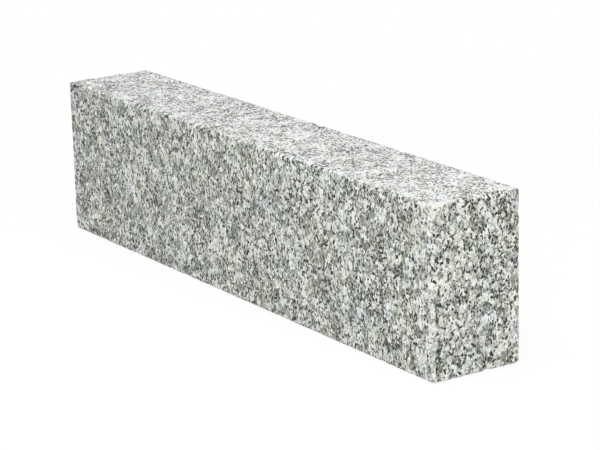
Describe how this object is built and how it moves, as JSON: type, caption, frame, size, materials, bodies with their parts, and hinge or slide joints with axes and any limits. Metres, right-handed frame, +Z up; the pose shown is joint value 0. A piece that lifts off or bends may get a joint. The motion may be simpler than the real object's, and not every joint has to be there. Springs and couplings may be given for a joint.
{
  "type": "granite kerb stone",
  "caption": "Straight rectangular kerb stone of speckled light grey granite with small rounded arrises, laid end to end on a bed to edge a road or path.",
  "frame": {"origin": "middle of the bed, the underside that the stone is laid on", "axes": "+X along the kerb line, +Y across it from the road face to the back, +Z up"},
  "size_m": [1, 0.15, 0.25],
  "materials": {
    "granite": "matte"
  },
  "bodies": {
    "root": {"kerb_stone": "granite"}
  },
  "joints": []
}
